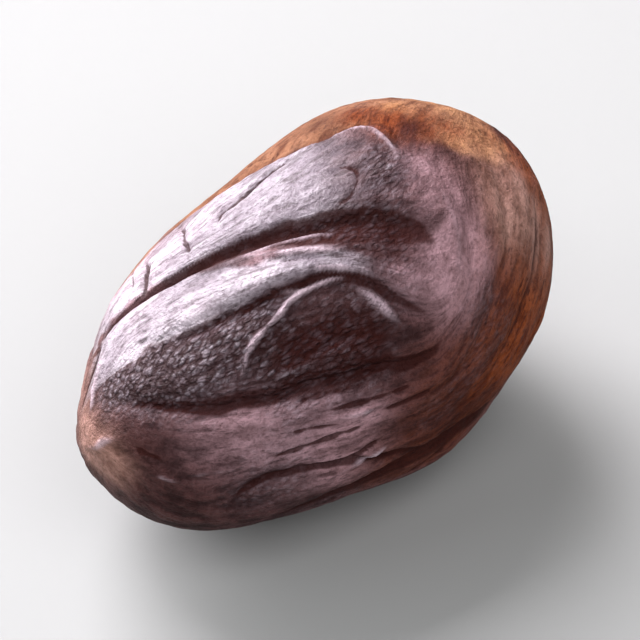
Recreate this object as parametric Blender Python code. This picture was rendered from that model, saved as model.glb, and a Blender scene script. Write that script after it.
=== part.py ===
"""A whole nutmeg in its shell, lying on its side.

Metres, +Z up. +X points to the broad end, which carries the scar where the seed was attached, and -X to the
narrow end. The origin is under the middle of the nutmeg, on the surface that it lies on.

A place on the shell is two numbers: its share of the half length along the nut's own axis, from -1 at the
narrow tip to 1 at the broad end, and its turn in degrees about that axis, from 0 on top towards -Y.
"""

import math

import bmesh
import bpy
import numpy as np
from mathutils import Matrix

MM = 0.001

# The egg form
LENGTH = 31.0 * MM
WIDTH = 19.0 * MM
HEIGHT_SHARE = 0.965  # the cross-section is a little flatter than it is wide
TAPER = 0.15  # how much fatter the broad half is
BROAD_POWER = 1.12  # above 1 draws an end out, below 1 blunts it
NARROW_POWER = 0.80
LEAN_DEG = 5.0  # the broad end rides a little higher than the tip
REST_CUT = 0.22 * MM  # depth of the small flat that the nut lies on

# The net of the mesh: a cube of this many squares a side, rounded to a ball and twisted along with the folds
SQUARES = 31
TWIST_DEG = 85.0
FINEST_REACH = 0.50 * MM  # nothing narrower is drawn, since the net would break it up

# Bands raised from the shell and furrows pressed into it, in millimetres: the height, the reach on the side
# of the smaller turn and on the other, then the places passed, each with its share of the height and reach.
FOLDS = {
    # the side that lies upwards
    "top_tongue": (0.22, 1.4, 1.9, [
        (0.36, -6, 0.7), (0.22, -6, 1), (0.02, -10, 1), (-0.22, -18, 1), (-0.46, -34, 0.9), (-0.68, -56, 0.6)]),
    "cap_edge": (-0.24, 0.40, 0.60, [
        (-0.30, -52, 0.4), (-0.05, -43, 1), (0.10, -35, 1), (0.28, -22, 1), (0.44, -17, 1), (0.49, -9, 1),
        (0.46, 3, 1), (0.50, 15, 0.7), (0.57, 24, 0.4)]),
    "upper_valley": (-0.85, 0.50, 1.1, [
        (0.28, 42, 0.6), (0.24, 29, 1), (0.13, 17, 1.1), (0.00, 9, 1.05), (-0.11, 2, 0.9), (-0.19, -2, 0.7),
        (-0.27, -7, 0.52), (-0.40, -15, 0.40), (-0.50, -22, 0.36), (-0.60, -33, 0.32), (-0.72, -49, 0.25)]),
    "bright_band": (0.40, 1.5, 0.50, [
        (0.14, 56, 0.6), (0.07, 46, 0.8), (0.01, 38, 0.8), (-0.05, 30, 0.8), (-0.13, 22, 0.9), (-0.23, 16, 1),
        (-0.32, 12, 1), (-0.42, 7, 1), (-0.50, 3, 1), (-0.58, -2, 1), (-0.66, -9, 0.9), (-0.74, -22, 0.6)]),
    "second_valley": (-0.42, 0.3, 0.55, [
        (0.11, 63, 0.5), (0.08, 53, 1), (0.03, 45, 1), (-0.03, 34, 1), (-0.11, 25, 0.9), (-0.21, 21, 0.8),
        (-0.31, 17, 0.8), (-0.41, 14, 0.8), (-0.50, 11, 0.7), (-0.57, 7, 0.6), (-0.64, 3, 0.5), (-0.72, -5, 0.4)]),
    "dark_leaf": (-0.35, 1.4, 1.2, [
        (0.00, 58, 0.6), (-0.12, 50, 1), (-0.25, 41, 1), (-0.38, 37, 1), (-0.51, 37, 0.7)]),
    "lower_fold": (-0.50, 0.6, 0.4, [
        (0.17, 61, 0.5), (0.06, 67, 0.9), (-0.05, 65, 1), (-0.16, 60, 1), (-0.27, 57, 1), (-0.39, 52, 1),
        (-0.49, 50, 1), (-0.59, 44, 1), (-0.66, 40, 1), (-0.73, 34, 1), (-0.80, 22, 0.9), (-0.86, 4, 0.8),
        (-0.90, -9, 0.6)]),
    "cheek": (0.22, 1.4, 1.4, [(0.34, 18, 0.7), (0.38, 30, 1), (0.32, 44, 0.7)]),
    # the side towards -Y
    "lower_lobe": (0.30, 1.4, 1.4, [
        (0.12, 80, 0.6), (-0.06, 77, 1), (-0.28, 70, 1), (-0.49, 63, 1), (-0.66, 53, 1), (-0.80, 40, 0.8),
        (-0.89, 16, 0.6)]),
    "bottom_crease": (-0.45, 0.4, 0.3, [
        (-0.05, 104, 0.4), (-0.17, 100, 1), (-0.34, 93, 1), (-0.54, 85, 1), (-0.66, 84, 1), (-0.72, 88, 1),
        (-0.77, 101, 0.6)]),
    "near_flank": (-0.22, 0.45, 0.60, [
        (0.74, 20, 0.4), (0.66, 36, 1), (0.56, 52, 1), (0.38, 65, 1), (0.18, 77, 1), (-0.06, 84, 0.5)]),
    "low_flank": (-0.25, 0.50, 0.60, [
        (0.84, 44, 0.4), (0.76, 60, 1), (0.58, 76, 1), (0.30, 88, 1), (0.00, 94, 0.5)]),
    # underneath
    "belly_valley": (-0.60, 0.5, 1.0, [
        (0.66, 96, 0.5), (0.36, 110, 1), (0.00, 106, 1), (-0.36, 112, 1), (-0.70, 124, 0.7), (-0.88, 144, 0.4)]),
    "belly_fork": (-0.42, 0.4, 0.7, [(0.10, 109, 0.4), (-0.10, 122, 1), (-0.36, 132, 1), (-0.70, 150, 0.6)]),
    "under_valley": (-0.52, 0.9, 0.4, [
        (0.74, 136, 0.4), (0.44, 142, 1), (0.10, 156, 1), (-0.25, 158, 1), (-0.60, 170, 0.8), (-0.84, 190, 0.4)]),
    # the side towards +Y
    "back_valley": (-0.65, 0.4, 1.0, [
        (0.70, 180, 0.5), (0.35, 188, 1), (0.02, 200, 1), (-0.34, 196, 1), (-0.66, 206, 0.8), (-0.86, 222, 0.4)]),
    "back_fork": (-0.38, 0.4, 0.6, [(0.06, 200, 0.4), (-0.15, 211, 1), (-0.40, 218, 1), (-0.68, 226, 0.6)]),
    "back_band": (0.38, 1.2, 1.2, [(0.60, 212, 0.5), (0.25, 222, 1), (-0.10, 232, 1), (-0.60, 240, 0.7)]),
    "raphe": (-0.32, 0.8, 0.5, [
        (0.74, 268, 0.5), (0.40, 256, 1), (0.00, 250, 1), (-0.45, 254, 1), (-0.80, 262, 0.7), (-0.95, 280, 0.4)]),
    "far_valley": (-0.55, 0.45, 0.9, [
        (0.56, 294, 0.4), (0.24, 284, 1), (-0.14, 290, 1), (-0.48, 280, 1), (-0.80, 292, 0.5)]),
}

# Round swellings and, below nothing, hollows, in millimetres: place, reach, height
MOUNDS = {
    # the scar at the broad end, its dimple and the knob at the tip
    "scar": ((0.90, -62), 2.3, 0.60),
    "dimple": ((0.92, -66), 1.0, -0.55),
    "tip_knob": ((-0.97, -15), 1.1, 0.30),
    "tongue_end": ((0.34, -1), 1.2, 0.22),
    "valley_floor": ((0.14, 30), 1.5, -0.30),
    # slow unevenness of the whole form
    "shoulder": ((0.66, -38), 3.6, 0.40),
    "broad_end": ((0.93, 4), 2.6, 0.22),
    "back_slope": ((0.04, -54), 5.0, -0.62),
    "tip_slope": ((-0.82, -64), 3.0, -0.50),
    "tip_under": ((-0.96, 178), 3.0, -0.40),
    "tip_belly": ((-0.86, 104), 3.0, -0.25),
    "belly": ((0.04, 122), 4.6, 0.65),
    "pillow": ((-0.66, 18), 2.2, 0.24),
}


def shell_points(along, turn):
    """Points of the smooth egg, about its own middle and axis, for arrays of places."""
    across = np.sqrt(np.clip(1 - along**2, 0, 1))
    to_broad = 0.5 + 0.5 * np.clip(1.5 * along, -1, 1)
    power = NARROW_POWER + (BROAD_POWER - NARROW_POWER) * to_broad
    radius = WIDTH / 2 * across**power * (1 + TAPER * along)
    return np.stack(
        [LENGTH / 2 * along, -radius * np.sin(turn), HEIGHT_SHARE * radius * np.cos(turn)], axis=-1
    )


def smooth_knots(knots, steps=10):
    """A Catmull-Rom line through knots of three numbers each."""
    knots = np.array(knots, float)
    knots = np.vstack([2 * knots[0] - knots[1], knots, 2 * knots[-1] - knots[-2]])
    line = []
    for i in range(1, len(knots) - 2):
        before, start, end, after = knots[i - 1 : i + 3]
        for t in np.linspace(0, 1, steps, endpoint=False):
            bend = 2 * before - 5 * start + 4 * end - after
            twist = 3 * start - before - 3 * end + after
            line.append(0.5 * (2 * start + (end - before) * t + bend * t**2 + twist * t**3))
    return np.array(line + [knots[-2]])


def fold_height(points, outward, fold):
    """How far one band or furrow lifts each point of the shell: most in its middle, nothing past its ends."""
    height, upper, lower, knots = fold
    line = smooth_knots(knots)
    path = shell_points(np.clip(line[:, 0], -0.999, 0.999), np.radians(line[:, 1]))
    nearest = np.full(len(points), np.inf)
    side, size, share = (np.zeros(len(points)) for _ in range(3))
    for i in range(len(path) - 1):
        start, run = path[i], path[i + 1] - path[i]
        t = np.clip((points - start) @ run / (run @ run), 0, 1)
        gap = points - start - t[:, None] * run
        distance = np.linalg.norm(gap, axis=1)
        nearer = distance < nearest
        beside = np.einsum("ij,ij->i", gap, np.cross(run, outward))
        nearest = np.where(nearer, distance, nearest)
        side = np.where(nearer, np.sign(beside) * distance, side)
        size = np.where(nearer, line[i, 2] + t * (line[i + 1, 2] - line[i, 2]), size)
        share = np.where(nearer, (i + t) / (len(path) - 1), share)
    # a narrow furrow is drawn wider and lower, so that its section keeps its area
    drawn = [np.maximum(size * reach * MM, FINEST_REACH) for reach in (upper, lower)]
    lowered = size * (upper + lower) * MM / (drawn[0] + drawn[1])
    # the line runs from the broad end to the tip, so the smaller turns lie on its right
    slope = np.exp(-((side / np.where(side > 0, drawn[0], drawn[1])) ** 2))
    ends = np.sqrt(np.clip(np.sin(math.pi * share), 0, 1))
    return height * MM * size * ends * lowered * slope


def mound_height(points, mound):
    """How far one round swelling or hollow lifts each point of the shell."""
    place, reach, height = mound
    middle = shell_points(np.array(place[0]), np.radians(place[1]))
    return height * MM * np.exp(-((np.linalg.norm(points - middle, axis=1) / (reach * MM)) ** 2))


def shape_shell(mesh):
    """Moves the vertices of a cube out to the surface of the shell."""
    corners = np.array([v.co for v in mesh.verts])
    even = np.tan(corners * math.pi / 4)
    ball = even / np.linalg.norm(even, axis=1)[:, None]
    along = np.clip(ball[:, 0], -1, 1)
    twist = math.radians(TWIST_DEG / 2) * np.tanh((along + 0.3) / 0.6)
    smooth = shell_points(along, np.arctan2(-ball[:, 1], ball[:, 2]) + twist)
    outward = smooth / np.array([LENGTH, WIDTH, WIDTH]) ** 2
    outward /= np.linalg.norm(outward, axis=1)[:, None]
    height = sum(fold_height(smooth, outward, fold) for fold in FOLDS.values())
    height += sum(mound_height(smooth, mound) for mound in MOUNDS.values())
    for vertex, point in zip(mesh.verts, smooth + height[:, None] * outward):
        vertex.co = point


def lay_down(mesh):
    """Leans the nut as it lies, cuts its small resting flat and stands it on the origin."""
    bmesh.ops.transform(mesh, matrix=Matrix.Rotation(-math.radians(LEAN_DEG), 4, "Y"), verts=mesh.verts)
    floor = min(v.co.z for v in mesh.verts) + REST_CUT
    cut = bmesh.ops.bisect_plane(
        mesh,
        geom=mesh.verts[:] + mesh.edges[:] + mesh.faces[:],
        plane_co=(0, 0, floor),
        plane_no=(0, 0, -1),
        dist=0.02 * MM,
        clear_outer=True,
    )
    rim = [e for e in cut["geom_cut"] if isinstance(e, bmesh.types.BMEdge)]
    bmesh.ops.contextual_create(mesh, geom=rim)
    for vertex in mesh.verts:
        if vertex.co.z < floor + 0.03 * MM:
            vertex.co.z = floor
    middle = [(min(v.co[k] for v in mesh.verts) + max(v.co[k] for v in mesh.verts)) / 2 for k in (0, 1)]
    bmesh.ops.translate(mesh, vec=(-middle[0], -middle[1], -floor), verts=mesh.verts)


def shell_material():
    """Dark, half glossy seed shell."""
    material = bpy.data.materials.new("nutmeg_shell")
    material.use_nodes = True
    surface = material.node_tree.nodes["Principled BSDF"]
    surface.inputs["Base Color"].default_value = (0.085, 0.036, 0.026, 1)
    surface.inputs["Roughness"].default_value = 0.38
    surface.inputs["Metallic"].default_value = 0
    return material


def build_nutmeg():
    """The one solid of the object."""
    mesh = bmesh.new()
    bmesh.ops.create_cube(mesh, size=2)
    bmesh.ops.subdivide_edges(mesh, edges=mesh.edges, cuts=SQUARES - 1, use_grid_fill=True)
    shape_shell(mesh)
    lay_down(mesh)
    bmesh.ops.triangulate(mesh, faces=mesh.faces[:], quad_method="SHORT_EDGE")
    data = bpy.data.meshes.new("nutmeg")
    mesh.to_mesh(data)
    mesh.free()
    data.shade_smooth()
    data.materials.append(shell_material())
    nutmeg = bpy.data.objects.new("nutmeg", data)
    bpy.context.scene.collection.objects.link(nutmeg)


def main():
    for old in list(bpy.data.objects):
        bpy.data.objects.remove(old)
    build_nutmeg()


main()
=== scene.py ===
import math

import bpy
import numpy as np
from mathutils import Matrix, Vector


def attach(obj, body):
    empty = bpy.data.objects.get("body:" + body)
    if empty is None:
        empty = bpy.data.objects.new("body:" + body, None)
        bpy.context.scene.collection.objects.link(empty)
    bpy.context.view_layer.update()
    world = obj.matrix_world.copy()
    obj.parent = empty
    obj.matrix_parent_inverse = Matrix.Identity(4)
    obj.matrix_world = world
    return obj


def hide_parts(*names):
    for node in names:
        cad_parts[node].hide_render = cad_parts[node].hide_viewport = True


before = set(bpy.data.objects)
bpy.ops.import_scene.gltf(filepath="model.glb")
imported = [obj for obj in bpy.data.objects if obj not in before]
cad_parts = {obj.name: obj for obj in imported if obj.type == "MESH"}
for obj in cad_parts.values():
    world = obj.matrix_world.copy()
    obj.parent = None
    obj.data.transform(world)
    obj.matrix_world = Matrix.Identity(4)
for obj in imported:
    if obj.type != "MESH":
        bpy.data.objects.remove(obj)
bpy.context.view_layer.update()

# Everything about the egg is in millimetres until its mesh is made.
# A place on the shell is a share of the half length, -1 at the tip to 1 at the broad end, and a turn in
# degrees about the long axis, from 0 on top towards the near side.
egg = {
    "length": 31.0,
    "width": 19.0,
    "heightShare": 0.965,
    "taper": 0.15,
    "broadPower": 1.12,  # the ends' forms: blunter below 1, more pointed above it
    "narrowPower": 0.80,
    "powerBlend": 1.5,  # how fast the one gives way to the other
    "leanDegrees": 5.0,
    "liesAt": (0.010, 0.166, 8.923),  # the egg's middle, over the origin
    "squares": 128,  # along each side of the cube that is rounded to a ball
}


def eggPoints(along, turn):
    # the smooth egg about its own middle; turn is in radians
    across = np.sqrt(np.clip(1 - along**2, 0, 1))
    toBroad = 0.5 + 0.5 * np.clip(egg["powerBlend"] * along, -1, 1)
    power = egg["narrowPower"] + (egg["broadPower"] - egg["narrowPower"]) * toBroad
    radius = egg["width"] / 2 * across**power * (1 + egg["taper"] * along)
    x = egg["length"] / 2 * along
    return np.stack([x, -radius * np.sin(turn), egg["heightShare"] * radius * np.cos(turn)], axis=-1)


def placePoint(place):
    return eggPoints(np.array(place[0], float), math.radians(place[1]))


def cubeBall(squares):
    # a ball of six square nets: directions, faces, and which vertex each net's crossing is
    side = squares + 1
    keys, corners = [], []
    i, j = np.meshgrid(np.arange(side), np.arange(side), indexing="ij")
    for axis in range(3):
        for top in (0, 1):
            cell = [None, None, None]
            cell[axis] = np.full_like(i, top * squares)
            cell[(axis + 1) % 3], cell[(axis + 2) % 3] = i, j
            keys.append((cell[0] * side + cell[1]) * side + cell[2])
    keys = np.array(keys)
    unique, crossing = np.unique(keys.ravel(), return_inverse=True)
    crossing = crossing.reshape(keys.shape)
    grid = np.stack([unique // side**2, unique // side % side, unique % side], axis=1)
    ball = np.tan((grid * 2.0 / squares - 1) * math.pi / 4)
    ball /= np.linalg.norm(ball, axis=1)[:, None]
    for number, net in enumerate(crossing):
        ring = [net[:-1, :-1], net[1:, :-1], net[1:, 1:], net[:-1, 1:]]
        if number % 2 == 0:
            ring.reverse()
        corners.append(np.stack(ring, axis=-1).reshape(-1, 4))
    return ball, np.concatenate(corners), crossing


def placesOf(points):
    along = np.clip(points[:, 0] / (egg["length"] / 2), -0.99999, 0.99999)
    return along, np.arctan2(-points[:, 1], points[:, 2] / egg["heightShare"])


def nearestVertices(along, turn, crossing):
    across = np.sqrt(1 - along**2)
    ball = np.stack([along, -across * np.sin(turn), across * np.cos(turn)], axis=1)
    axis = np.abs(ball).argmax(axis=1)
    rows = np.arange(len(ball))
    deep = ball[rows, axis]
    steps = []
    for ahead in (1, 2):
        slope = np.arctan(ball[rows, (axis + ahead) % 3] / np.abs(deep)) * 4 / math.pi
        steps.append(np.clip(np.rint((slope + 1) / 2 * egg["squares"]), 0, egg["squares"]).astype(int))
    return crossing[axis * 2 + (deep > 0), steps[0], steps[1]]


def valueNoise(points, cell, seed):
    # smooth random values from -1 to 1 on cells of that size
    spot = points / cell + seed * 7.31
    low = np.floor(spot).astype(np.int64)
    part = spot - low
    part = part * part * (3 - 2 * part)
    total = np.zeros(len(points))
    for corner in range(8):
        bits = np.array([corner & 1, corner >> 1 & 1, corner >> 2 & 1])
        cellId = low + bits
        mixed = cellId[:, 0] * 73856093 ^ cellId[:, 1] * 19349663 ^ cellId[:, 2] * 83492791 ^ seed * 2654435
        mixed = (mixed ^ mixed >> 13) * 1274126177 & 0x7FFFFFFF
        mixed = (mixed ^ mixed >> 15) * 668265263 & 0x7FFFFFFF
        weight = np.prod(np.where(bits, part, 1 - part), axis=1)
        total += weight * (mixed / 0x3FFFFFFF - 1)
    return total


def smoothStep(value, low, high):
    share = np.clip((value - low) / (high - low), 0, 1)
    return share * share * (3 - 2 * share)


# Folds of the shell, in millimetres: height (below nothing for a furrow), reach to the line's right and left
# as seen from outside, how strongly the grain follows it, and the places passed with the size at each
folds = {
    "topTongue": (0.22, 1.4, 1.9, 1, [
        (0.36, -6, 0.7), (0.22, -6, 1), (0.02, -10, 1), (-0.22, -18, 1), (-0.46, -34, 0.9),
        (-0.68, -56, 0.6)]),
    "capEdge": (-0.24, 0.40, 0.60, 0.15, [
        (-0.30, -52, 0.4), (-0.05, -43, 1), (0.10, -35, 1), (0.28, -22, 1), (0.44, -17, 1), (0.49, -9, 1),
        (0.46, 3, 1), (0.50, 15, 0.7), (0.57, 24, 0.4)]),
    "upperValley": (-0.85, 0.50, 1.1, 1, [
        (0.28, 42, 0.6), (0.24, 29, 1), (0.13, 17, 1.1), (0.00, 9, 1.05), (-0.11, 2, 0.9), (-0.19, -2, 0.7),
        (-0.27, -7, 0.52), (-0.40, -15, 0.40), (-0.50, -22, 0.36), (-0.60, -33, 0.32), (-0.72, -49, 0.25)]),
    "brightBand": (0.40, 1.5, 0.50, 1, [
        (0.14, 56, 0.6), (0.07, 46, 0.8), (0.01, 38, 0.8), (-0.05, 30, 0.8), (-0.13, 22, 0.9), (-0.23, 16, 1),
        (-0.32, 12, 1), (-0.42, 7, 1), (-0.50, 3, 1), (-0.58, -2, 1), (-0.66, -9, 0.9), (-0.74, -22, 0.6)]),
    "secondValley": (-0.42, 0.3, 0.55, 1, [
        (0.11, 63, 0.5), (0.08, 53, 1), (0.03, 45, 1), (-0.03, 34, 1), (-0.11, 25, 0.9), (-0.21, 21, 0.8),
        (-0.31, 17, 0.8), (-0.41, 14, 0.8), (-0.50, 11, 0.7), (-0.57, 7, 0.6), (-0.64, 3, 0.5),
        (-0.72, -5, 0.4)]),
    "darkLeaf": (-0.35, 1.4, 1.2, 0.5, [
        (0.00, 58, 0.6), (-0.12, 50, 1), (-0.25, 41, 1), (-0.38, 37, 1), (-0.51, 37, 0.7)]),
    "lowerFold": (-0.50, 0.6, 0.4, 1, [
        (0.17, 61, 0.5), (0.06, 67, 0.9), (-0.05, 65, 1), (-0.16, 60, 1), (-0.27, 57, 1), (-0.39, 52, 1),
        (-0.49, 50, 1), (-0.59, 44, 1), (-0.66, 40, 1), (-0.73, 34, 1), (-0.80, 22, 0.9), (-0.86, 4, 0.8),
        (-0.90, -9, 0.6)]),
    "cheek": (0.22, 1.4, 1.4, 0, [(0.34, 18, 0.7), (0.38, 30, 1), (0.32, 44, 0.7)]),
    "lowerLobe": (0.30, 1.4, 1.4, 1, [
        (0.12, 80, 0.6), (-0.06, 77, 1), (-0.28, 70, 1), (-0.49, 63, 1), (-0.66, 53, 1), (-0.80, 40, 0.8),
        (-0.89, 16, 0.6)]),
    "bottomCrease": (-0.45, 0.4, 0.3, 1, [
        (-0.05, 104, 0.4), (-0.17, 100, 1), (-0.34, 93, 1), (-0.54, 85, 1), (-0.66, 84, 1), (-0.72, 88, 1),
        (-0.77, 101, 0.6)]),
    "nearFlank": (-0.22, 0.45, 0.60, 1, [
        (0.74, 20, 0.4), (0.66, 36, 1), (0.56, 52, 1), (0.38, 65, 1), (0.18, 77, 1), (-0.06, 84, 0.5)]),
    "lowFlank": (-0.25, 0.50, 0.60, 1, [
        (0.84, 44, 0.4), (0.76, 60, 1), (0.58, 76, 1), (0.30, 88, 1), (0.00, 94, 0.5)]),
    "bellyValley": (-0.60, 0.5, 1.0, 1, [
        (0.66, 96, 0.5), (0.36, 110, 1), (0.00, 106, 1), (-0.36, 112, 1), (-0.70, 124, 0.7),
        (-0.88, 144, 0.4)]),
    "bellyFork": (-0.42, 0.4, 0.7, 1, [
        (0.10, 109, 0.4), (-0.10, 122, 1), (-0.36, 132, 1), (-0.70, 150, 0.6)]),
    "underValley": (-0.52, 0.9, 0.4, 1, [
        (0.74, 136, 0.4), (0.44, 142, 1), (0.10, 156, 1), (-0.25, 158, 1), (-0.60, 170, 0.8),
        (-0.84, 190, 0.4)]),
    "backValley": (-0.65, 0.4, 1.0, 1, [
        (0.70, 180, 0.5), (0.35, 188, 1), (0.02, 200, 1), (-0.34, 196, 1), (-0.66, 206, 0.8),
        (-0.86, 222, 0.4)]),
    "backFork": (-0.38, 0.4, 0.6, 1, [(0.06, 200, 0.4), (-0.15, 211, 1), (-0.40, 218, 1), (-0.68, 226, 0.6)]),
    "backBand": (0.38, 1.2, 1.2, 1, [(0.60, 212, 0.5), (0.25, 222, 1), (-0.10, 232, 1), (-0.60, 240, 0.7)]),
    "raphe": (-0.32, 0.8, 0.5, 1, [
        (0.74, 268, 0.5), (0.40, 256, 1), (0.00, 250, 1), (-0.45, 254, 1), (-0.80, 262, 0.7),
        (-0.95, 280, 0.4)]),
    "farValley": (-0.55, 0.45, 0.9, 1, [
        (0.56, 294, 0.4), (0.24, 284, 1), (-0.14, 290, 1), (-0.48, 280, 1), (-0.80, 292, 0.5)]),
}

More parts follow.
